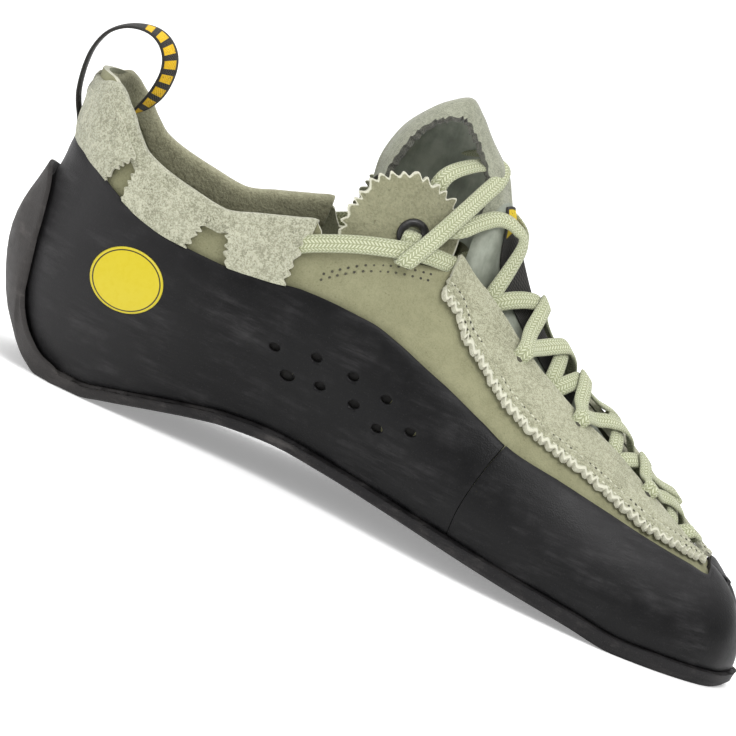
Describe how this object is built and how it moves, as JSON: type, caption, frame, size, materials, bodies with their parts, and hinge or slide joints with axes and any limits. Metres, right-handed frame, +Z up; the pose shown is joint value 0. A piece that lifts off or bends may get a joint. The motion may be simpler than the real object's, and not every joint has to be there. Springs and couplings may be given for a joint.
{
  "type": "climbing shoe",
  "caption": "Laced climbing shoe: hollow leather upper with pinked suede tunnels, ear flaps and tongue, rubber rand, one-piece sole carried up the heel as a band, and a webbing pull loop.",
  "frame": {"origin": "on the floor under the flat part of the heel", "axes": "+X runs from the heel to the toe, +Y to the outer side of the left foot, +Z up"},
  "size_m": [0.2414, 0.0901, 0.1231],
  "materials": {
    "sole_rubber": "matte moulded rubber, scuffed",
    "rubber": "satin rubber sheet, dusty at its edges",
    "leather": "matte khaki suede leather",
    "suede": "pale brushed suede with pinked edges",
    "lining": "smooth grey lining",
    "board": "plain board",
    "lace": "flat braided lace",
    "webbing": "black woven webbing",
    "ring": "black painted ring",
    "badge": "plain yellow print"
  },
  "bodies": {
    "root": {"outsole": "sole_rubber", "rear_rand": "rubber", "toe_rand": "rubber", "upper": "leather", "insole": "board", "tongue": "lining", "tunnel_pad_rear_inner": "suede", "tunnel_pad_middle_inner": "suede", "tunnel_pad_front_inner": "suede", "tunnel_pad_rear_outer": "suede", "tunnel_pad_middle_outer": "suede", "tunnel_pad_front_outer": "suede", "eyestay_inner": "suede", "eyestay_outer": "suede", "ear_flap_inner": "suede", "ear_flap_outer": "suede", "eyelet_inner": "ring", "eyelet_outer": "ring", "lace_run_inner": "lace", "lace_run_outer": "lace", "lace_crossings": "lace", "lace_top": "lace", "pull_loop": "webbing", "side_badge": "badge"}
  },
  "joints": []
}
